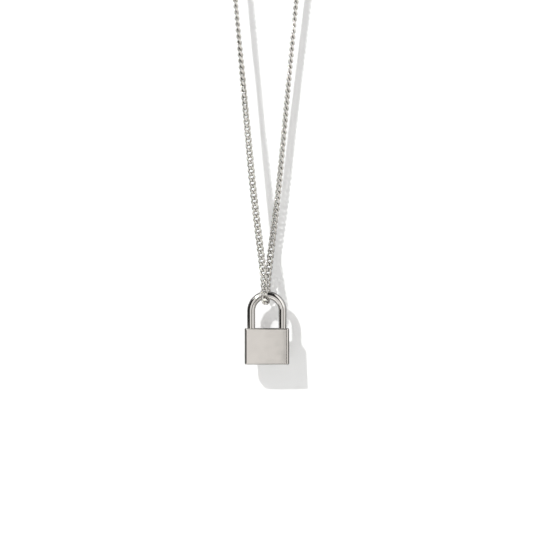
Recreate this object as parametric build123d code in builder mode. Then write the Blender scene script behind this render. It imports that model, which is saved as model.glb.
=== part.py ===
from build123d import *
import os
from math import radians, sin, cos, tan, atan2

# A padlock pendant on a curb chain, in millimetres. The whole necklace is here, as it
# hangs. The origin is on the inner side of the chain's loop at its top, where a peg or
# hook carries it. Everything hangs down along -Z, and the padlock's front faces -Y.

# Padlock body
body_width = 17.0
body_height = 13.8
body_depth = 5.2
body_bulge = 0.25  # how far the front and back faces crown at their middle
body_corner_radius = 1.1  # upright corners
body_rim_radius = 0.4  # edges round the top and the bottom

# Shackle: a round rod bent into an arch, both legs seated in the body
rod_diameter = 3.0
leg_spacing = 12.0  # centre to centre, and so twice the arch's radius
leg_rise = 6.67  # straight leg that shows above the body
leg_depth = 4.8  # leg inside the body
leg_end_chamfer = 0.3
bore_clearance = 0.12  # round each leg and under its end
pendant_shift = 0.4  # the padlock hangs this far right of the chain's middle

# Curb link: a round wire bent to an oval and twisted, so each end crosses its neighbour
wire_diameter = 0.7
link_pitch = 2.3
link_half_length = 1.64  # to the wire's centre line
link_half_width = 1.0  # to the wire's centre line
link_end_twist = 54.0  # degrees each end is turned out of the flat, opposite ways
link_bend_radius = 0.92

# Where the chain goes round the shackle
rod_gap = 0.25  # between the rod and the link that it rests on
saddle_links = 5
saddle_turn = 32.0  # degrees from one link to the next there
saddle_skew = 6.5  # degrees the chain crosses the rod out of square

# The route of one strand above the shackle, chosen by hand: the distance out from the
# middle and the height above the shackle's rod, both to the centre lines
loop_rise = 233.1
strand_route = [
    {"out": 0.62, "rise": 6.0},
    {"out": 4.8, "rise": 39.5},
    {"out": 22.9, "rise": loop_rise},
]
strand_bend_radii = [40.0, 600.0]
top_roundness = 0.98  # share of the loop's top that is one arc

# How the strands turn from facing forward at the padlock to facing into the loop above:
# the height as a share of loop_rise, and the degrees turned into the loop there
right_turns = [
    {"share": 0.03, "turned": saddle_skew},
    {"share": 0.145, "turned": 50.0},
    {"share": 0.5, "turned": 90.0},
]
left_turns = [
    {"share": 0.17, "turned": -saddle_skew},
    {"share": 0.45, "turned": 90.0},
]

# Clasp and its two jump rings, which take the place of a few links of the left strand
clasp_links = 6
clasp_below_top = 30.0  # from the top of the loop to the upper ring
clasp_thickness = 1.5
clasp_hook_radius = 2.3
clasp_eye_radius = 1.55
clasp_eye_hole = 0.75  # radius
clasp_wall = 0.9  # metal between each opening and the end of the clasp
clasp_edge_radius = 0.3
ring_radius = 1.85  # to the wire's centre line
ring_wire = 0.7
ring_overlap = 0.6  # how far a ring's wire lies inside the end of its link
ring_play = 0.1  # between a ring's middle and the end of the clasp


def link_place(start, end, facing):
    """The place of a link between two joints, with its flat side turned to facing."""
    along = (end - start).normalized()
    width = facing.cross(along).normalized()
    return Plane(origin=(start + end) / 2, x_dir=width, z_dir=along).location


def strand_facing(start, end, turns):
    """Where a link's flat side faces: forward at the padlock, into the loop above."""
    along = (end - start).normalized()
    into_loop = along.cross(Vector(0, 1, 0)).normalized()
    share = ((start.Z + end.Z) / 2 - crown_z) / loop_rise
    turned = turns[0]["turned"]
    for lower, upper in zip(turns, turns[1:]):
        passed = (share - lower["share"]) / (upper["share"] - lower["share"])
        turned += (upper["turned"] - lower["turned"]) * min(max(passed, 0), 1)
    return Vector(0, -1, 0) * cos(radians(turned)) + into_loop * sin(radians(turned))


# One curb link, standing along Z with its flat sides facing along Y
end_x = link_half_width
end_y = link_half_width * tan(radians(link_end_twist))
link_half = [
    (0, 0, link_half_length),
    (end_x, -end_y, link_half_length),
    (end_x, end_y, -link_half_length),
    (0, 0, -link_half_length),
]
with BuildPart() as link:
    with BuildLine() as link_line:
        FilletPolyline(*link_half, radius=link_bend_radius)
    with BuildSketch(Plane(origin=link_line.line @ 0, z_dir=link_line.line % 0)):
        Circle(wire_diameter / 2)
    sweep()
    add(link.part.rotate(Axis.Z, 180))
link_thickness = link.part.bounding_box().size.Y

# Heights: the loop's inner side at its top is at zero
rod_radius = rod_diameter / 2
arch_radius = leg_spacing / 2
top_z = link_thickness / 2
crown_z = top_z - loop_rise
arch_z = crown_z - arch_radius
body_top_z = arch_z - leg_rise
body_bottom_z = body_top_z - body_height

# The saddle: links round the rod, level in the middle and steeper towards both sides
saddle_depth = rod_radius + rod_gap + link_thickness / 2
skew = Vector(sin(radians(saddle_skew)), cos(radians(saddle_skew)), 0)
saddle_joints = [Vector(0, 0, crown_z - saddle_depth) + skew * link_pitch / 2]
for step in range(1, (saddle_links + 1) // 2):
    tilt = radians(saddle_turn * step)
    saddle_joints.append(saddle_joints[-1] + (skew * cos(tilt) + Vector(0, 0, sin(tilt))) * link_pitch)
saddle_joints = [Vector(-end.X, -end.Y, end.Z) for end in reversed(saddle_joints)] + saddle_joints
rod_centre = Vector(0, 0, crown_z)
saddle_places = []
for start, end in zip(saddle_joints, saddle_joints[1:]):
    along = (end - start).normalized()
    to_rod = rod_centre - (start + end) / 2
    saddle_places.append(link_place(start, end, to_rod - along * to_rod.dot(along)))

# The route of both strands and the top of the loop, from the saddle's back end up the
# right, over the top and down the left to the saddle's front end. The right strand
# starts behind the rod and the left one in front of it, and both lean to the middle.
right_start = saddle_joints[-1]
right_points = [right_start]
for point in strand_route:
    depth = right_start.Y * (1 - point["rise"] / loop_rise)
    right_points.append(Vector(point["out"], depth, crown_z + point["rise"]))
left_points = [Vector(-point.X, -point.Y, point.Z) for point in reversed(right_points)]
shoulder, top_corner = right_points[-2:]
top_turn = radians(90) + atan2(top_corner.X - shoulder.X, top_corner.Z - shoulder.Z)
top_radius = top_roundness * top_corner.X / tan(top_turn / 2)
right_radii = strand_bend_radii + [top_radius]
with BuildLine() as route:
    FilletPolyline(*right_points, *left_points, radius=right_radii + right_radii[::-1])
loop_route = route.wire()
route_length = loop_route.length
route_links = round(route_length / link_pitch)
joints = [loop_route @ (number / route_links) for number in range(route_links + 1)]

# The clasp takes the place of the links from clasp_first on, on the left strand
clasp_first = route_links // 2
while joints[clasp_first].Z > top_z - clasp_below_top:
    clasp_first += 1
clasp_last = clasp_first + clasp_links
strand_places = []
for number in range(route_links):
    if clasp_first <= number < clasp_last:
        continue
    start = joints[number]
    end = joints[number + 1]
    turns = right_turns if number < route_links / 2 else left_turns
    strand_places.append(link_place(start, end, strand_facing(start, end, turns)))
links = [link.part.moved(place) for place in saddle_places + strand_places]
chain = Compound(label="chain", children=links)

# Jump rings and clasp, along the stretch between the two ends of the chain
upper_joint = joints[clasp_first]
lower_joint = joints[clasp_last]
clasp_along = (lower_joint - upper_joint).normalized()
clasp_stretch = (lower_joint - upper_joint).length
clasp_inner = strand_facing(upper_joint, lower_joint, left_turns)
ring_inset = ring_radius - ring_overlap
upper_centre = upper_joint + clasp_along * ring_inset
lower_centre = lower_joint - clasp_along * ring_inset
clasp_across = clasp_inner.cross(clasp_along)


def jump_ring(centre):
    """A closed ring whose plane holds the strand and stands across the clasp's plate."""
    with BuildPart(Plane(origin=centre, x_dir=clasp_along, z_dir=clasp_across)) as ring:
        Torus(ring_radius, ring_wire / 2)
    return ring.part


clasp_ring = jump_ring(upper_centre)
clasp_ring.label = "clasp_ring"
end_ring = jump_ring(lower_centre)
end_ring.label = "end_ring"

# The clasp's plate: its eye is up and its hook down, and both openings pass a ring
clasp_length = clasp_stretch - 2 * (ring_inset + ring_play)
clasp_middle = (upper_joint + lower_joint) / 2
clasp_plane = Plane(
    origin=clasp_middle - clasp_inner.normalized() * clasp_thickness / 2,
    x_dir=clasp_along,
    z_dir=clasp_inner,
)
eye_x = -clasp_length / 2 + clasp_eye_radius
eye_hole_x = -clasp_length / 2 + clasp_wall + clasp_eye_hole
hook_x = clasp_length / 2 - clasp_hook_radius
hook_hole_radius = clasp_hook_radius - clasp_wall
with BuildPart() as clasp:
    with BuildSketch(clasp_plane):
        with Locations((eye_x, 0)):
            Circle(clasp_eye_radius)
        with Locations((hook_x, 0)):
            Circle(clasp_hook_radius)
        make_hull()
    extrude(amount=clasp_thickness)
    fillet(clasp.edges(), radius=clasp_edge_radius)
    with BuildSketch(clasp_plane):
        with Locations((eye_hole_x, 0)):
            Circle(clasp_eye_hole)
        with Locations((hook_x - hook_hole_radius, 0)):
            SlotOverall(4 * hook_hole_radius, 2 * hook_hole_radius)
    extrude(amount=clasp_thickness, mode=Mode.SUBTRACT)
clasp.part.label = "clasp"

# Shackle
leg_end_z = body_top_z - leg_depth
with BuildPart() as shackle:
    with BuildLine() as rod_line:
        Line(
            (pendant_shift - arch_radius, 0, leg_end_z),
            (pendant_shift - arch_radius, 0, arch_z),
        )
        ThreePointArc(
            (pendant_shift - arch_radius, 0, arch_z),
            (pendant_shift, 0, crown_z),
            (pendant_shift + arch_radius, 0, arch_z),
        )
        Line(
            (pendant_shift + arch_radius, 0, arch_z),
            (pendant_shift + arch_radius, 0, leg_end_z),
        )
    with BuildSketch(Plane(origin=rod_line.line @ 0, z_dir=rod_line.line % 0)):
        Circle(rod_radius)
    sweep()
    chamfer(shackle.edges().group_by(Axis.Z)[0], length=leg_end_chamfer)
shackle.part.label = "shackle"

# Padlock body, with a bore for each leg
half_width = body_width / 2
half_depth = body_depth / 2
side_depth = half_depth - body_bulge
with BuildPart() as lock_body:
    with BuildSketch(Plane(origin=(pendant_shift, 0, body_bottom_z))) as outline:
        with BuildLine():
            ThreePointArc(
                (-half_width, -side_depth), (0, -half_depth), (half_width, -side_depth)
            )
            Line((half_width, -side_depth), (half_width, side_depth))
            ThreePointArc(
                (half_width, side_depth), (0, half_depth), (-half_width, side_depth)
            )
            Line((-half_width, side_depth), (-half_width, -side_depth))
        make_face()
        fillet(outline.vertices(), radius=body_corner_radius)
    extrude(amount=body_height)
    rims = lock_body.faces().filter_by(Plane.XY).edges()
    fillet(rims, radius=body_rim_radius)
    with Locations((pendant_shift, 0, body_top_z)):
        with GridLocations(leg_spacing, 0, 2, 1):
            Hole(rod_radius + bore_clearance, depth=leg_depth + bore_clearance)
lock_body.part.label = "lock_body"

os.makedirs("parts", exist_ok=True)
export_step(lock_body.part, "parts/lock_body.step")
export_step(shackle.part, "parts/shackle.step")
export_step(chain, "parts/chain.step")
export_step(clasp.part, "parts/clasp.step")
export_step(clasp_ring, "parts/clasp_ring.step")
export_step(end_ring, "parts/end_ring.step")

loop_length = route_length + (len(saddle_joints) - 1) * link_pitch
print("links", len(links), "loop length", round(loop_length, 1))
print("pitch", round(route_length / route_links, 4), "link thickness", link_thickness)
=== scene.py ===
from math import acos, asin, cos, degrees, pi, radians, sin, sqrt

import bmesh
import bpy
import numpy as np
from mathutils import Matrix, Vector
from mathutils.geometry import tessellate_polygon


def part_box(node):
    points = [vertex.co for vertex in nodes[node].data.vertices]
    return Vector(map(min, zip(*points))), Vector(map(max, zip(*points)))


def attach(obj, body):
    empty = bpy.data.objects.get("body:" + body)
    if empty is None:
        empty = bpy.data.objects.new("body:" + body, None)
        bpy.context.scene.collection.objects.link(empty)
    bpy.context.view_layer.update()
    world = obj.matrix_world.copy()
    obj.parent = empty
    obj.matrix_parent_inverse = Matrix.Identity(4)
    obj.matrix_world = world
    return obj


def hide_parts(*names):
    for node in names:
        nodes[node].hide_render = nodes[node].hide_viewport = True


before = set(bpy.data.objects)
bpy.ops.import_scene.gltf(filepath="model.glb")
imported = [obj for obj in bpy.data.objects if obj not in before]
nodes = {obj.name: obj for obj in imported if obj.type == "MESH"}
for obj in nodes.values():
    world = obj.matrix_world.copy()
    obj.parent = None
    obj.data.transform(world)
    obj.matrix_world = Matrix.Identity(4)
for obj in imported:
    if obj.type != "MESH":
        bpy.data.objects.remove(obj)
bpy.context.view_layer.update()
mm = 0.001
print("frame loaded with", len(nodes), "CAD nodes")


# Small helpers for shader and geometry trees

def newNode(tree, kind, values=(), **settings):
    node = tree.nodes.new(kind)
    for name, value in settings.items():
        setattr(node, name, value)
    for socket, value in dict(values).items():
        if isinstance(value, bpy.types.NodeSocket):
            tree.links.new(value, node.inputs[socket])
        else:
            node.inputs[socket].default_value = value
    return node


def calculate(tree, operation, first, second=0.0, third=0.0):
    node = newNode(tree, "ShaderNodeMath", {0: first, 1: second, 2: third}, operation=operation)
    return node.outputs[0]


def softStep(tree, value, low, high, fromTone=0.0, toTone=1.0):
    node = newNode(
        tree, "ShaderNodeMapRange",
        {"Value": value, "From Min": low, "From Max": high, "To Min": fromTone, "To Max": toTone},
        interpolation_type="SMOOTHSTEP",
    )
    return node.outputs[0]


def within(tree, value, low, high, soft):
    rising = softStep(tree, value, low - soft / 2, low + soft / 2)
    falling = softStep(tree, value, high - soft / 2, high + soft / 2, 1.0, 0.0)
    return calculate(tree, "MULTIPLY", rising, falling)


def mixTone(tree, factor, first, second):
    node = newNode(tree, "ShaderNodeMix", {"Factor": factor}, data_type="RGBA")
    colours = [socket for socket in node.inputs if socket.type == "RGBA"]
    for socket, tone in zip(colours, (first, second)):
        if isinstance(tone, bpy.types.NodeSocket):
            tree.links.new(tone, socket)
        else:
            socket.default_value = (*tone, 1.0)
    return [socket for socket in node.outputs if socket.type == "RGBA"][0]


# Finishes. One group gives every polished metal its fine grain, handling marks and hairlines.
wearLook = {
    "grainDetail": {"Detail": 3.0, "Roughness": 0.6},
    "markDetail": {"Detail": 4.0, "Roughness": 0.55, "Distortion": 0.4},
    "hairlineSlant": {"Rotation": (0.4, 0.7, 0.3), "Scale": (1.0, 1.0, 0.06)},
    "hairlinesPerMark": 3.5,
    "hairlineWidth": 0.035,
    # how strong a mark is where each of these starts and where it is full
    "hairlineFrom": (0.45, 0.7),
    "dullFrom": (0.3, 0.75),
    "tarnishFrom": (0.35, 0.8),
    "hairlineDull": 0.6,
}


def makePolishGroup():
    tree = bpy.data.node_groups.new("polishWear", "ShaderNodeTree")
    for name, kind, start in (
        ("Position", "NodeSocketVector", None),
        ("Grain Stretch", "NodeSocketVector", (1.0, 1.0, 1.0)),
        ("Grain Size", "NodeSocketFloat", 0.1),
        ("Mark Size", "NodeSocketFloat", 3.0),
        ("Low Roughness", "NodeSocketFloat", 0.1),
        ("High Roughness", "NodeSocketFloat", 0.2),
        ("Hairline Share", "NodeSocketFloat", 0.3),
    ):
        socket = tree.interface.new_socket(name, in_out="INPUT", socket_type=kind)
        if start is not None:
            socket.default_value = start
    for name in ("Roughness", "Height", "Tarnish"):
        tree.interface.new_socket(name, in_out="OUTPUT", socket_type="NodeSocketFloat")
    taken = newNode(tree, "NodeGroupInput")
    given = newNode(tree, "NodeGroupOutput")
    perGrain = calculate(tree, "DIVIDE", 1 / mm, taken.outputs["Grain Size"])
    perMark = calculate(tree, "DIVIDE", 1 / mm, taken.outputs["Mark Size"])
    stretched = newNode(
        tree, "ShaderNodeVectorMath",
        {0: taken.outputs["Position"], 1: taken.outputs["Grain Stretch"]}, operation="MULTIPLY",
    ).outputs[0]
    grain = newNode(
        tree, "ShaderNodeTexNoise",
        {"Vector": stretched, "Scale": perGrain, **wearLook["grainDetail"]},
    ).outputs["Fac"]
    marks = newNode(
        tree, "ShaderNodeTexNoise",
        {"Vector": taken.outputs["Position"], "Scale": perMark, **wearLook["markDetail"]},
    ).outputs["Fac"]
    # hairlines: long thin cells at a slant, kept where the slow marks are strongest
    slanted = newNode(
        tree, "ShaderNodeMapping",
        {"Vector": taken.outputs["Position"], **wearLook["hairlineSlant"]},
    ).outputs[0]
    perHairline = calculate(tree, "MULTIPLY", perMark, wearLook["hairlinesPerMark"])
    cells = newNode(
        tree, "ShaderNodeTexVoronoi",
        {"Vector": slanted, "Scale": perHairline}, feature="DISTANCE_TO_EDGE",
    ).outputs["Distance"]
    nearEdge = softStep(tree, cells, 0.0, wearLook["hairlineWidth"], 1.0, 0.0)
    kept = softStep(tree, marks, *wearLook["hairlineFrom"])
    hairlines = calculate(tree, "MULTIPLY", nearEdge, kept)
    hairlines = calculate(tree, "MULTIPLY", hairlines, taken.outputs["Hairline Share"])
    scratched = calculate(tree, "MULTIPLY", hairlines, wearLook["hairlineDull"])
    dull = calculate(tree, "ADD", softStep(tree, marks, *wearLook["dullFrom"]), scratched)
    low, high = taken.outputs["Low Roughness"], taken.outputs["High Roughness"]
    rough = calculate(tree, "MULTIPLY_ADD", dull, calculate(tree, "SUBTRACT", high, low), low)
    tree.links.new(rough, given.inputs["Roughness"])
    tree.links.new(calculate(tree, "SUBTRACT", grain, hairlines), given.inputs["Height"])
    tarnish = softStep(tree, marks, *wearLook["tarnishFrom"])
    tree.links.new(tarnish, given.inputs["Tarnish"])
    return tree


polishWear = makePolishGroup()


def makeMetal(name, finish):
    metal = bpy.data.materials.new(name)
    metal.use_nodes = True
    tree = metal.node_tree
    shader = tree.nodes["Principled BSDF"]
    shader.inputs["Metallic"].default_value = 1.0
    place = newNode(tree, "ShaderNodeTexCoord").outputs["Object"]
    lowRoughness, highRoughness = finish["roughness"]
    wear = newNode(
        tree, "ShaderNodeGroup",
        {
            "Position": place,
            "Grain Stretch": finish["grainStretch"],
            "Grain Size": finish["grainSize"],
            "Mark Size": finish["markSize"],
            "Low Roughness": lowRoughness,
            "High Roughness": highRoughness,
            "Hairline Share": finish["hairlines"],
        },
        node_tree=polishWear,
    )
    colour = mixTone(tree, wear.outputs["Tarnish"], finish["clean"], finish["handled"])
    if "creviceShade" in finish:
        # painted shade: the colour darkens where links lie against each other
        hidden = newNode(
            tree, "ShaderNodeAmbientOcclusion", {"Distance": finish["creviceShadeReach"] * mm},
            samples=8, only_local=True,
        )
        shadeShare = softStep(tree, hidden.outputs["AO"], *finish["creviceShadeFrom"], 1.0, 0.0)
        colour = mixTone(tree, shadeShare, colour, finish["creviceShade"])
    tree.links.new(colour, shader.inputs["Base Color"])
    tree.links.new(wear.outputs["Roughness"], shader.inputs["Roughness"])
    relief = newNode(
        tree, "ShaderNodeBump",
        {"Strength": 1.0, "Distance": finish["grainDepth"] * mm, "Height": wear.outputs["Height"]},
    )
    tree.links.new(relief.outputs["Normal"], shader.inputs["Normal"])
    return metal


# sizes, reaches and depths are in mm
lockFinish = {
    "clean": (0.80, 0.775, 0.745),
    "handled": (0.785, 0.76, 0.73),
    "roughness": (0.11, 0.14),
    "grainStretch": (1.0, 1.0, 0.05),  # the brushing runs up the face
    "grainSize": 0.10,
    "grainDepth": 0.0006,
    "markSize": 3.2,
    "hairlines": 0.5,
}
rodFinish = {
    "clean": (0.82, 0.80, 0.78),
    "handled": (0.79, 0.77, 0.74),
    "roughness": (0.035, 0.08),
    "grainStretch": (1.0, 1.0, 0.1),
    "grainSize": 0.12,
    "grainDepth": 0.0002,
    "markSize": 2.4,
    "hairlines": 0.35,
}
chainFinish = {
    "clean": (0.95, 0.935, 0.895),
    "handled": (0.82, 0.80, 0.76),
    "roughness": (0.05, 0.12),
    # colour of the painted shade where links lie against each other
    "creviceShade": (0.08, 0.077, 0.065),
    "creviceShadeReach": 1.0,
    "creviceShadeFrom": (0.33, 0.68),  # how open the metal lies where the painted shade is full and where it ends
    "grainStretch": (1.0, 1.0, 1.0),
    "grainSize": 0.09,
    "grainDepth": 0.0004,
    "markSize": 1.6,
    "hairlines": 0.2,
}
fittingFinish = {
    "clean": (0.80, 0.79, 0.76),
    "handled": (0.74, 0.72, 0.68),
    "roughness": (0.07, 0.15),
    "grainStretch": (1.0, 1.0, 0.2),
    "grainSize": 0.08,
    "grainDepth": 0.0004,
    "markSize": 1.8,
    "hairlines": 0.4,
}
lockMetal = makeMetal("lockMetal", lockFinish)
rodMetal = makeMetal("rodMetal", rodFinish)
chainMetal = makeMetal("chainMetal", chainFinish)
fittingMetal = makeMetal("fittingMetal", fittingFinish)
print("finishes ready:", len(bpy.data.materials))


# Meshes with the true normal at every corner, so that polished faces mirror without facets

def makePiece(name, points, normals, faces, metal, body, slotName, *replaced):
    mesh = bpy.data.meshes.new(name)
    mesh.from_pydata([tuple(point) for point in points], [], faces)
    work = bmesh.new()
    work.from_mesh(mesh)
    bmesh.ops.recalc_face_normals(work, faces=work.faces)
    work.to_mesh(mesh)
    work.free()
    mesh.polygons.foreach_set("use_smooth", [True] * len(mesh.polygons))
    mesh.normals_split_custom_set_from_vertices([tuple(normal) for normal in normals])
    mesh.materials.append(metal)
    piece = bpy.data.objects.new(name, mesh)
    bpy.context.scene.collection.objects.link(piece)
    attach(piece, body)
    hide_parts(*replaced)


samePlace = 1e-4 * mm  # two outline points this near are one
rimSteps, lipSteps = 5, 3  # of a plate's rounded edges, outside and at its openings


def traceArcs(arcs):
    # closed outline from arcs (x, y, radius, from, to, steps), as (place, outward) pairs
    outline = []
    for x, y, radius, start, end, steps in arcs:
        for step in range(steps + 1):
            turn = radians(start + (end - start) * step / steps)
            outward = Vector((cos(turn), sin(turn)))
            place = Vector((x, y)) + outward * radius
            if not outline or (place - outline[-1][0]).length > samePlace:
                outline.append((place, outward))
    if (outline[0][0] - outline[-1][0]).length < samePlace:
        outline.pop()
    return outline


def makeBlock(outline, low, high, edge, openings, lip):
    # a thick plate with rounded rims; each opening is an outline and the height of its floor,
    # or None where it goes right through
    points, normals, faces, rims = [], [], [], {"top": [], "foot": []}

    def addRing(source, height, inset, tilt, side):
        first = len(points)
        for place, outward in source:
            moved = place - outward * inset
            level = outward * cos(tilt) * side
            points.append(Vector((moved.x, moved.y, height)))
            normals.append(Vector((level.x, level.y, sin(tilt))))
        return list(range(first, len(points)))

    def addRound(source, face, size, tilts, side, up):
        # rings of a quarter round between a flat face and an upright side
        rings = []
        for tilt in tilts:
            height = face - up * size * (1 - sin(tilt))
            rings.append(addRing(source, height, side * size * (1 - cos(tilt)), up * tilt, side))
        return rings

    def joinRings(rings):
        for lower, upper in zip(rings, rings[1:]):
            count = len(lower)
            for spot in range(count):
                beside = (spot + 1) % count
                faces.append((lower[spot], lower[beside], upper[beside], upper[spot]))

    tilts = [radians(90 * step / rimSteps) for step in range(rimSteps + 1)]
    rings = addRound(outline, low, edge, reversed(tilts), 1, -1)
    rings += addRound(outline, high, edge, tilts, 1, 1)
    joinRings(rings)
    rims["foot"].append(rings[0])
    rims["top"].append(rings[-1])
    lips = [radians(90 * step / lipSteps) for step in range(lipSteps + 1)]
    for source, floor in openings:
        rings = addRound(source, high, lip, reversed(lips), -1, 1)
        rims["top"].append(rings[0])
        if floor is None:
            rings += addRound(source, low, lip, lips, -1, -1)
            rims["foot"].append(rings[-1])
        else:
            rings.append(addRing(source, floor, 0, 0, -1))
            faces.append(tuple(rings[-1]))
        joinRings(rings)
    for rim in rims.values():
        flat = [spot for ring in rim for spot in ring]
        for corners in tessellate_polygon([[points[spot] for spot in ring] for ring in rim]):
            faces.append(tuple(flat[corner] for corner in corners))
    return points, normals, faces


def makeRod(stations, across, sides, closed):
    # a round rod whose line lies in one plane; a station is its centre, outward side and radius
    points, normals, faces = [], [], []
    for centre, outward, radius in stations:
        for side in range(sides):
            turn = 2 * pi * side / sides
            normal = outward * cos(turn) + across * sin(turn)
            points.append(centre + normal * radius)
            normals.append(normal)
    count = len(stations)
    for station in range(count if closed else count - 1):
        here, there = station * sides, (station + 1) % count * sides
        for side in range(sides):
            beside = (side + 1) % sides
            faces.append((here + side, here + beside, there + beside, there + side))
    if not closed:
        faces.append(tuple(range(sides)))
        faces.append(tuple(range((count - 1) * sides, count * sides)))
    return points, normals, faces


# Shackle: the polished round rod, from the foot of one leg over the arch to the other
shackle = {"sides": 48, "archSteps": 72, "footChamfer": 0.3 * mm}
rodLow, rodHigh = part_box("shackle")
rodRadius = (rodHigh.y - rodLow.y) / 2
archRadius = (rodHigh.x - rodLow.x) / 2 - rodRadius
archCentre = Vector(((rodLow.x + rodHigh.x) / 2, 0, rodHigh.z - rodRadius - archRadius))
chamfer = shackle["footChamfer"]
stations = []
for side in (-1, 1):
    outward = Vector((side, 0, 0))
    foot = Vector((archCentre.x + side * archRadius, 0, rodLow.z))
    leg = [(foot, outward, rodRadius - chamfer), (foot + Vector((0, 0, chamfer)), outward, rodRadius)]
    if side < 0:
        stations += leg
        for step in range(shackle["archSteps"] + 1):
            turn = pi * (1 - step / shackle["archSteps"])
            ray = Vector((cos(turn), 0, sin(turn)))
            stations.append((archCentre + ray * archRadius, ray, rodRadius))
    else:
        stations += reversed(leg)
rodMesh = makeRod(stations, Vector((0, 1, 0)), shackle["sides"], False)
makePiece("polishedShackle", *rodMesh, rodMetal, "padlock", "rod_metal", "shackle")
print("shackle swept, rod radius", round(rodRadius / mm, 3), "mm")


# Padlock body: faces that crown a little, round upright corners, soft rims, a bore for each leg
lock = {
    "crown": 0.25 * mm,
    "cornerRadius": 1.1 * mm,
    "rim": 0.4 * mm,
    "boreClearance": 0.12 * mm,
    "boreLip": 0.06 * mm,
    "faceSteps": 36,
    "cornerSteps": 10,
    "boreSteps": 40,
}
lockLow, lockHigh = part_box("lock_body")
halfWidth, halfDepth = (lockHigh.x - lockLow.x) / 2, (lockHigh.y - lockLow.y) / 2
corner = lock["cornerRadius"]
faceRadius = (halfWidth**2 + lock["crown"] ** 2) / (2 * lock["crown"])
faceCentre = faceRadius - halfDepth  # of the front face's arc; the back's is its mirror
cornerX = halfWidth - corner
cornerY = sqrt((faceRadius - corner) ** 2 - cornerX**2) - faceCentre
lean = degrees(asin(cornerX / (faceRadius - corner)))
around, along = lock["cornerSteps"], lock["faceSteps"]
lockArcs = [
    (0, faceCentre, faceRadius, -90 - lean, -90 + lean, along),
    (cornerX, -cornerY, corner, -90 + lean, 0, around),
    (cornerX, cornerY, corner, 0, 90 - lean, around),
    (0, -faceCentre, faceRadius, 90 - lean, 90 + lean, along),
    (-cornerX, cornerY, corner, 90 + lean, 180, around),
    (-cornerX, -cornerY, corner, 180, 270 - lean, around),
]
boreRadius = rodRadius + lock["boreClearance"]
boreFloor = rodLow.z - lock["boreClearance"]
bores = []
for side in (-1, 1):
    boreArcs = [(side * archRadius, 0, boreRadius, 0, 360, lock["boreSteps"])]
    bores.append((traceArcs(boreArcs), boreFloor))
lockMesh = makeBlock(traceArcs(lockArcs), lockLow.z, lockHigh.z, lock["rim"], bores, lock["boreLip"])
middle = Vector(((lockLow.x + lockHigh.x) / 2, 0, 0))
lockPoints = [point + middle for point in lockMesh[0]]
makePiece("polishedLock", lockPoints, *lockMesh[1:], lockMetal, "padlock", "lock_metal", "lock_body")
print("padlock body made, lean of the face at its corners", round(lean, 2), "degrees")


# What the CAD solids say about where small pieces lie

def cadTriangles(name):
    mesh = nodes[name].data
    mesh.calc_loop_triangles()
    places = np.empty(len(mesh.vertices) * 3, np.float32)
    mesh.vertices.foreach_get("co", places)
    picks = np.empty(len(mesh.loop_triangles) * 3, np.int32)
    mesh.loop_triangles.foreach_get("vertices", picks)
    return places.reshape(-1, 3)[picks].reshape(-1, 3, 3).astype(float)


def lieOf(triangles):
    # middle of the surface and its directions, from the thinnest to the longest
    middles = triangles.mean(1)
    sides = triangles[:, 1:] - triangles[:, :1]
    areas = np.linalg.norm(np.cross(sides[:, 0], sides[:, 1]), axis=1)
    centre = np.average(middles, axis=0, weights=areas)
    offsets = middles - centre
    spread = offsets.T @ (offsets * areas[:, None])
    return Vector(centre), [Vector(axis) for axis in np.linalg.eigh(spread)[1].T]


def splitSolids(triangles):
    # groups triangles that share corners, which gives one group for each link
    perMetre, bits = 1e6, 20  # corners meet to the micron, and each coordinate takes this many bits
    keys = np.rint(triangles.reshape(-1, 3) * perMetre).astype(np.int64) + 2 ** (bits - 1)
    keys = (keys[:, 0] << 2 * bits) + (keys[:, 1] << bits) + keys[:, 2]
    picks = np.unique(keys, return_inverse=True)[1].reshape(-1, 3)
    label = np.arange(picks.max() + 1)
    while True:
        lowest = label[picks].min(1)
        joined = label.copy()
        for spot in range(3):
            np.minimum.at(joined, picks[:, spot], lowest)
        joined = joined[joined]
        if (joined == label).all():
            break
        label = joined
    group = np.unique(label[picks[:, 0]], return_inverse=True)[1]
    order = np.argsort(group, kind="stable")
    return [triangles[part] for part in np.split(order, np.cumsum(np.bincount(group))[:-1])]


# Chain: Geometry Nodes bend one curb link and set a copy at the place of each CAD link
chain = {
    "Half Length": 1.64 * mm,
    "Half Width": 0.99 * mm,
    "End Twist": radians(65),
    "Fullness": 0.8,  # below 1 the oval fills its corners
    "Wire Radius": 0.43 * mm,
    "Link Sides": 14,
    "Wire Sides": 6,
    "Play": radians(1.2),
    "Seed": 7,
}


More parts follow.
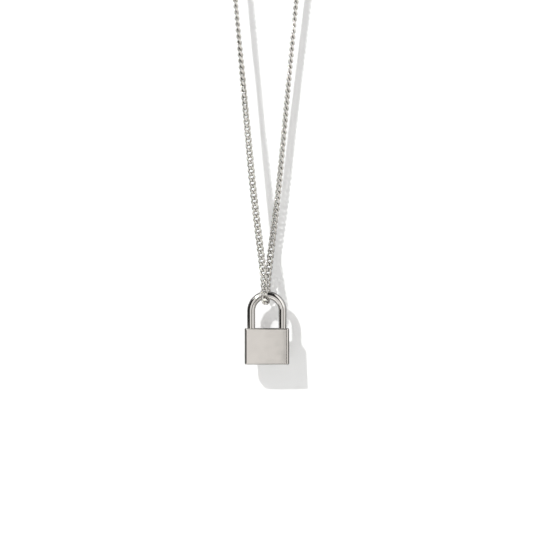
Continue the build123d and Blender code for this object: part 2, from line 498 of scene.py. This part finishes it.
def makeChainTree():
    tree = bpy.data.node_groups.new("curbChain", "GeometryNodeTree")
    tree.interface.new_socket("Geometry", in_out="INPUT", socket_type="NodeSocketGeometry")
    for name, value in chain.items():
        kind = "NodeSocketInt" if isinstance(value, int) else "NodeSocketFloat"
        tree.interface.new_socket(name, in_out="INPUT", socket_type=kind).default_value = value
    tree.interface.new_socket("Metal", in_out="INPUT", socket_type="NodeSocketMaterial")
    tree.interface.new_socket("Geometry", in_out="OUTPUT", socket_type="NodeSocketGeometry")
    taken = newNode(tree, "NodeGroupInput").outputs
    width, length = taken["Half Width"], taken["Half Length"]
    # an oval of wire, twisted along its length: both ends cross the flat, opposite ways
    ring = newNode(
        tree, "GeometryNodeCurvePrimitiveCircle", {"Resolution": taken["Link Sides"], "Radius": 1.0},
    )
    spot = newNode(tree, "GeometryNodeInputPosition").outputs[0]
    flat = newNode(tree, "ShaderNodeSeparateXYZ", {0: spot}).outputs
    oval = []
    for axis in ("X", "Y"):
        swelled = calculate(tree, "POWER", calculate(tree, "ABSOLUTE", flat[axis]), taken["Fullness"])
        oval.append(calculate(tree, "MULTIPLY", swelled, calculate(tree, "SIGN", flat[axis])))
    across = calculate(tree, "MULTIPLY", oval[0], width)
    twist = calculate(tree, "MULTIPLY", oval[1], taken["End Twist"])
    back = calculate(tree, "MULTIPLY", across, -1.0)
    twisted = newNode(
        tree, "ShaderNodeCombineXYZ",
        {
            "X": calculate(tree, "MULTIPLY", across, calculate(tree, "COSINE", twist)),
            "Y": calculate(tree, "MULTIPLY", back, calculate(tree, "SINE", twist)),
            "Z": calculate(tree, "MULTIPLY", oval[1], length),
        },
    )
    bent = newNode(
        tree, "GeometryNodeSetPosition",
        {"Geometry": ring.outputs["Curve"], "Position": twisted.outputs[0]},
    )
    wire = newNode(
        tree, "GeometryNodeCurvePrimitiveCircle",
        {"Resolution": taken["Wire Sides"], "Radius": taken["Wire Radius"]},
    )
    link = newNode(
        tree, "GeometryNodeCurveToMesh",
        {"Curve": bent.outputs[0], "Profile Curve": wire.outputs["Curve"]},
    )
    smooth = newNode(tree, "GeometryNodeSetShadeSmooth", {"Geometry": link.outputs[0]})
    run = newNode(tree, "GeometryNodeInputNamedAttribute", {"Name": "run"}, data_type="FLOAT_VECTOR")
    facing = newNode(
        tree, "GeometryNodeInputNamedAttribute", {"Name": "facing"}, data_type="FLOAT_VECTOR",
    )
    lie = newNode(
        tree, "FunctionNodeAxesToRotation",
        {"Primary Axis": run.outputs["Attribute"], "Secondary Axis": facing.outputs["Attribute"]},
        primary_axis="Z", secondary_axis="Y",
    )
    placed = newNode(
        tree, "GeometryNodeInstanceOnPoints",
        {"Points": taken["Geometry"], "Instance": smooth.outputs[0], "Rotation": lie.outputs[0]},
    )
    slack = newNode(tree, "FunctionNodeRandomValue", {"Seed": taken["Seed"]}, data_type="FLOAT_VECTOR")
    lowPlay = calculate(tree, "MULTIPLY", taken["Play"], -1.0)
    vectors = [socket for socket in slack.inputs if socket.type == "VECTOR"]
    for socket, amount in zip(vectors, (lowPlay, taken["Play"])):
        even = newNode(tree, "ShaderNodeCombineXYZ", {"X": amount, "Y": amount, "Z": amount})
        tree.links.new(even.outputs[0], socket)
    turn = newNode(tree, "FunctionNodeEulerToRotation")
    angles = [socket for socket in slack.outputs if socket.type == "VECTOR"][0]
    tree.links.new(angles, turn.inputs[0])
    loose = newNode(
        tree, "GeometryNodeRotateInstances",
        {"Instances": placed.outputs[0], "Rotation": turn.outputs[0]},
    )
    real = newNode(tree, "GeometryNodeRealizeInstances", {"Geometry": loose.outputs[0]})
    dressed = newNode(
        tree, "GeometryNodeSetMaterial", {"Geometry": real.outputs[0], "Material": taken["Metal"]},
    )
    newNode(tree, "NodeGroupOutput", {"Geometry": dressed.outputs[0]})
    return tree


lies = [lieOf(solid) for solid in splitSolids(cadTriangles("chain"))]
placesMesh = bpy.data.meshes.new("linkPlaces")
placesMesh.from_pydata([tuple(centre) for centre, axes in lies], [], [])
for name, axis in (("run", 2), ("facing", 0)):
    stored = placesMesh.attributes.new(name, "FLOAT_VECTOR", "POINT")
    stored.data.foreach_set("vector", [value for centre, axes in lies for value in axes[axis]])
linkPlaces = bpy.data.objects.new("linkPlaces", placesMesh)
bpy.context.scene.collection.objects.link(linkPlaces)
chainTree = makeChainTree()
bending = linkPlaces.modifiers.new("curbChain", "NODES")
bending.node_group = chainTree
items = chainTree.interface.items_tree
sockets = {item.name: item.identifier for item in items if item.in_out == "INPUT"}
for name, value in chain.items():
    bending[sockets[name]] = value
bending[sockets["Metal"]] = chainMetal
evaluated = linkPlaces.evaluated_get(bpy.context.evaluated_depsgraph_get())
chainMesh = bpy.data.meshes.new_from_object(evaluated)
linkPlaces.modifiers.remove(bending)
bpy.data.objects.remove(linkPlaces)
chainMesh.name = "curbChain"
curbChain = bpy.data.objects.new("curbChain", chainMesh)
bpy.context.scene.collection.objects.link(curbChain)
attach(curbChain, "necklace")
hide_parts("chain")
print("chain linked:", len(lies), "links,", len(chainMesh.polygons), "faces")


# Jump rings and the clasp between them, on the hidden stretch
fittings = {
    "ringSteps": 48,
    "ringSides": 14,
    "hookRadius": 2.3 * mm,
    "eyeRadius": 1.55 * mm,
    "eyeHole": 0.75 * mm,
    "wall": 0.9 * mm,
    "edge": 0.3 * mm,
    "lip": 0.1 * mm,
    "hookSteps": 24,
    "eyeSteps": 20,
    "holeSteps": 24,
    "slotSteps": 14,
}
for name, nodeName in (("upperRing", "clasp_ring"), ("lowerRing", "end_ring")):
    triangles = cadTriangles(nodeName)
    centre, axes = lieOf(triangles)
    across, outward = axes[0], axes[2]
    corners = triangles.reshape(-1, 3) - np.array(centre)
    wireRadius = float(np.abs(corners @ np.array(across)).max())
    ringRadius = float(np.abs(corners @ np.array(outward)).max()) - wireRadius
    sideways = across.cross(outward)
    stations = []
    for step in range(fittings["ringSteps"]):
        turn = 2 * pi * step / fittings["ringSteps"]
        ray = outward * cos(turn) + sideways * sin(turn)
        stations.append((centre + ray * ringRadius, ray, wireRadius))
    ringMesh = makeRod(stations, across, fittings["ringSides"], True)
    makePiece(name, *ringMesh, fittingMetal, "necklace", "fitting_metal", nodeName)

triangles = cadTriangles("clasp")
centre, axes = lieOf(triangles)
up, down = axes[0], axes[2]
if down.z > 0:
    down.negate()  # the eye is above and the hook below
side = up.cross(down)
corners = triangles.reshape(-1, 3) - np.array(centre)
reachDown, reachUp = (corners @ np.array(down)).max(), (corners @ np.array(down)).min()
halfThick = float(np.ptp(corners @ np.array(up))) / 2
hookX, eyeX = reachDown - fittings["hookRadius"], reachUp + fittings["eyeRadius"]
hug = degrees(acos((fittings["eyeRadius"] - fittings["hookRadius"]) / (hookX - eyeX)))
claspArcs = [
    (hookX, 0, fittings["hookRadius"], -hug, hug, fittings["hookSteps"]),
    (eyeX, 0, fittings["eyeRadius"], hug, 360 - hug, fittings["eyeSteps"]),
]
slotRadius = fittings["hookRadius"] - fittings["wall"]
eyeHoleX = reachUp + fittings["wall"] + fittings["eyeHole"]
holeArcs = [(eyeHoleX, 0, fittings["eyeHole"], 0, 360, fittings["holeSteps"])]
slotArcs = [
    (hookX, 0, slotRadius, -90, 90, fittings["slotSteps"]),
    (hookX - 2 * slotRadius, 0, slotRadius, 90, 270, fittings["slotSteps"]),
]
claspOpenings = [(traceArcs(arcs), None) for arcs in (holeArcs, slotArcs)]
claspMesh = makeBlock(
    traceArcs(claspArcs), -halfThick, halfThick, fittings["edge"], claspOpenings, fittings["lip"],
)
turnMatrix = Matrix((down, side, up)).transposed()
claspPoints = [centre + turnMatrix @ point for point in claspMesh[0]]
claspNormals = [turnMatrix @ normal for normal in claspMesh[1]]
makePiece(
    "plainClasp", claspPoints, claspNormals, claspMesh[2], fittingMetal,
    "necklace", "fitting_metal", "clasp",
)
print("clasp and jump rings made")


# Stage: a pale floor and a white sheet close behind the necklace, which takes its shadow
stage = {
    # the sheet bows a little: its height and its distance behind the necklace
    "wallLine": (
        (-345, 13.9), (-275, 9.85), (-258, 8.85), (-250, 8.4), (-240, 7.85), (-230, 7.4),
        (-215, 7.3), (-190, 7.25), (-165, 7.3), (-140, 7.7), (-115, 8.2), (-60, 9.3), (350, 18),
    ),
    "wallHalfWidth": 0.9,
    "floorHalfWidth": 1.8,
    "floorFront": -1.6,
    "wallTone": (0.9, 0.9, 0.9),
    "floorTone": (0.88, 0.88, 0.87),
    "roughness": 0.9,
    "specular": 0.1,
    "fibresPerMetre": 900.0,
    "fibreTone": 0.99,  # of the sheet's own tone, where its fibres are darkest
    # painted reflection: the tones the sheet glows with where polished metal mirrors it, facing it, at
    # a slant and along it
    "paintedWallInMetal": {
        "facing": 0.15, "slanted": 0.40, "along": 0.30, "dark": 0.03,
        "slantedFrom": (0.03, 0.45), "alongFrom": (0.7, 1.0),
        # painted light: behind the chain the mirrored sheet is brighter by this share, which comes in
        # over these heights
        "paintedBrightBehindChain": 0.9, "paintedBrightBehindChainFrom": (-225 * mm, -195 * mm),
        # painted shade and painted shadow in the mirrored sheet: dark to the left of the shackle and
        # of the chain, to the right of the padlock, and where the chain's shadow lies: from and to
        # across with their blur, then the same in height
        "paintedShades": (
            (-900, -13, 6, -244.9, -222, 1),
            (-900, -13, 6, -214, -178, 16),
            (10, 900, 3, -300, -245, 4),
            (-3, 12, 3, -229, -195, 6),
        ),
    },
}


def makeSheet(name, line, halfWidth, tone, isWall):
    # a sheet that runs along X, swept over the points (y, z) of its line
    mesh = bpy.data.meshes.new(name)
    ends = [(side * halfWidth, y, z) for y, z in line for side in (-1, 1)]
    faces = [(spot, spot + 1, spot + 3, spot + 2) for spot in range(0, len(ends) - 2, 2)]
    mesh.from_pydata(ends, [], faces)
    mesh.polygons.foreach_set("use_smooth", [True] * len(mesh.polygons))
    paper = bpy.data.materials.new(name)
    paper.use_nodes = True
    tree = paper.node_tree
    shader = tree.nodes["Principled BSDF"]
    shader.inputs["Roughness"].default_value = stage["roughness"]
    shader.inputs["Specular IOR Level"].default_value = stage["specular"]
    place = newNode(tree, "ShaderNodeTexCoord").outputs["Object"]
    fibre = newNode(
        tree, "ShaderNodeTexNoise", {"Vector": place, "Scale": stage["fibresPerMetre"], "Detail": 4.0},
    ).outputs["Fac"]
    darker = [value * stage["fibreTone"] for value in tone]
    tree.links.new(mixTone(tree, fibre, darker, tone), shader.inputs["Base Color"])
    clear = newNode(tree, "ShaderNodeBsdfTransparent")
    path = newNode(tree, "ShaderNodeLightPath").outputs
    inMetal = path["Is Glossy Ray"]
    if isWall:
        tones = stage["paintedWallInMetal"]
        slant = newNode(tree, "ShaderNodeLayerWeight", {"Blend": 0.5}).outputs["Facing"]
        rising = softStep(tree, slant, *tones["slantedFrom"], tones["facing"], tones["slanted"])
        falling = softStep(tree, slant, *tones["alongFrom"], 0.0, tones["along"] - tones["slanted"])
        spot = newNode(tree, "ShaderNodeSeparateXYZ", {0: place}).outputs
        # painted light: brighter in the mirrored sheet behind the chain
        brighter = softStep(tree, spot["Z"], *tones["paintedBrightBehindChainFrom"], 0.0, tones["paintedBrightBehindChain"])
        openShare = calculate(tree, "ADD", 1.0, brighter)
        # painted shade and painted shadow: each patch darkens the mirrored sheet
        for low, high, soft, bottom, top, blur in tones["paintedShades"]:
            beside = within(tree, spot["X"], low * mm, high * mm, soft * mm)
            level = within(tree, spot["Z"], bottom * mm, top * mm, blur * mm)
            clearOf = calculate(tree, "SUBTRACT", 1.0, calculate(tree, "MULTIPLY", beside, level))
            openShare = calculate(tree, "MULTIPLY", openShare, clearOf)
        above = calculate(tree, "SUBTRACT", calculate(tree, "ADD", rising, falling), tones["dark"])
        lit = calculate(tree, "MULTIPLY_ADD", above, openShare, tones["dark"])
        # painted reflection: in metal the sheet shows as a glow of these painted tones
        paintedGlow = newNode(tree, "ShaderNodeEmission", {"Strength": lit})
        # only what the camera sees in metal, and not what metal throws on to paper
        seenFirst = calculate(tree, "LESS_THAN", path["Diffuse Depth"], 0.5)
        inMetal = calculate(tree, "MULTIPLY", inMetal, seenFirst)
        front = newNode(
            tree, "ShaderNodeMixShader", {0: inMetal, 1: shader.outputs[0], 2: paintedGlow.outputs[0]},
        )
        behind = newNode(tree, "ShaderNodeNewGeometry").outputs["Backfacing"]
        either = newNode(
            tree, "ShaderNodeMixShader", {0: behind, 1: front.outputs[0], 2: clear.outputs[0]},
        )
    else:
        either = newNode(
            tree, "ShaderNodeMixShader", {0: inMetal, 1: shader.outputs[0], 2: clear.outputs[0]},
        )
    tree.links.new(either.outputs[0], tree.nodes["Material Output"].inputs["Surface"])
    mesh.materials.append(paper)
    sheet = bpy.data.objects.new(name, mesh)
    bpy.context.scene.collection.objects.link(sheet)


wallLine = [(y * mm, z * mm) for z, y in stage["wallLine"]]
makeSheet("wall", wallLine, stage["wallHalfWidth"], stage["wallTone"], True)
floorZ = wallLine[0][1]
floorLine = [(stage["floorFront"], floorZ), (-stage["floorFront"], floorZ)]
makeSheet("floor", floorLine, stage["floorHalfWidth"], stage["floorTone"], False)


# Light: one key from the upper left, and a studio of soft boxes with dark gaps between them
light = {
    "keyTravel": (0.67, 1.0, -0.876),
    "keyAngle": radians(2.2),
    "keyStrength": 2.25,
    "fill": (0.635, 0.635, 0.635),  # on the wall and floor
    "backdrop": (1.0, 1.0, 1.0),
    "roomTone": (0.26, 0.26, 0.25),
}
# Each card covers a stretch of bearing and height in degrees, seen from the padlock. Bearing 0 is
# the camera's, and a card's edge is soft over the given width. A card with "across" is a straight
# band overhead, between two shares of X. Later cards lie over earlier ones.
cards = [
    {"bearing": (-25, 130), "height": (-95, -15), "soft": 10, "tone": (0.54, 0.53, 0.51)},
    {"bearing": (-42, 80), "height": (-22, 62), "soft": 5, "tone": (0.86, 0.84, 0.82)},
    {"bearing": (-130, -8), "height": (25, 88), "soft": 5, "tone": (1.0, 1.0, 0.98)},
    {"bearing": (-115, -20), "height": (-80, -32), "soft": 8, "tone": (1.0, 1.0, 0.98)},
    {"bearing": (28, 72), "height": (9, 52), "soft": 8, "tone": (1.2, 1.19, 1.17)},
    {"bearing": (66, 140), "height": (8, 60), "soft": 8, "tone": (0.95, 0.95, 0.93)},
    {"bearing": (-125, -36), "height": (-28, 37), "soft": 3, "tone": (0.02, 0.02, 0.018)},
    {"bearing": (-64, -30), "height": (-33, -8), "soft": 5, "tone": (0.84, 0.83, 0.82)},
    {
        "across": (-0.08, 0.42), "softAcross": 1 / 12,
        "height": (20, 95), "soft": 5, "tone": (0.03, 0.03, 0.03),
    },
    {"bearing": (-1, 21), "height": (0.9, 22), "soft": 2.4, "tone": (0.03, 0.03, 0.03)},
    {"bearing": (-8, 0), "height": (2.5, 8), "soft": 3, "tone": (0.03, 0.03, 0.03)},
    {"bearing": (7.4, 28), "height": (-8, 4), "soft": 3, "tone": (0.03, 0.03, 0.03)},
    {"bearing": (-2, 25), "height": (-24, -7), "soft": 3, "tone": (0.03, 0.03, 0.03)},
]
key = bpy.data.objects.new("key", bpy.data.lights.new("key", "SUN"))
key.data.energy = light["keyStrength"]
key.data.angle = light["keyAngle"]
key.rotation_mode = "QUATERNION"
key.rotation_quaternion = Vector(light["keyTravel"]).to_track_quat("-Z", "Y")
bpy.context.scene.collection.objects.link(key)

world = bpy.data.worlds.new("studio")
bpy.context.scene.world = world
world.use_nodes = True
sky = world.node_tree
ray = newNode(sky, "ShaderNodeTexCoord").outputs["Generated"]
parts = newNode(sky, "ShaderNodeSeparateXYZ", {0: ray}).outputs
ahead = calculate(sky, "MULTIPLY", parts["Y"], -1.0)
bearing = calculate(sky, "DEGREES", calculate(sky, "ARCTAN2", parts["X"], ahead))
height = calculate(sky, "DEGREES", calculate(sky, "ARCSINE", parts["Z"]))
seen = light["roomTone"]
for card in cards:
    if "across" in card:
        sideways = within(sky, parts["X"], *card["across"], card["softAcross"])
    else:
        sideways = within(sky, bearing, *card["bearing"], card["soft"])
    upright = within(sky, height, *card["height"], card["soft"])
    mask = calculate(sky, "MULTIPLY", sideways, upright)
    seen = mixTone(sky, mask, seen, card["tone"])
path = newNode(sky, "ShaderNodeLightPath").outputs
even = mixTone(sky, path["Is Diffuse Ray"], seen, light["fill"])
shown = mixTone(sky, path["Is Camera Ray"], even, light["backdrop"])
sky.links.new(shown, sky.nodes["Background"].inputs["Color"])
print("stage and light set")


# Camera: level and straight on, framed as the photograph is
view = {
    "distance": 0.70,
    "across": 0.00026,
    "height": -0.2212,
    "frameWidth": 0.204,
    "sensor": 36,  # mm
    "near": 0.01,
    "far": 50,
}
lens = bpy.data.cameras.new("camera")
lens.sensor_width = view["sensor"]
lens.lens = view["sensor"] * view["distance"] / view["frameWidth"]
lens.clip_start = view["near"]
lens.clip_end = view["far"]
camera = bpy.data.objects.new("camera", lens)
camera.location = (view["across"], -view["distance"], view["height"])
camera.rotation_euler = (radians(90), 0, 0)
bpy.context.scene.collection.objects.link(camera)
bpy.context.scene.camera = camera
bpy.context.scene.view_settings.view_transform = "Standard"

print("all pieces in place")
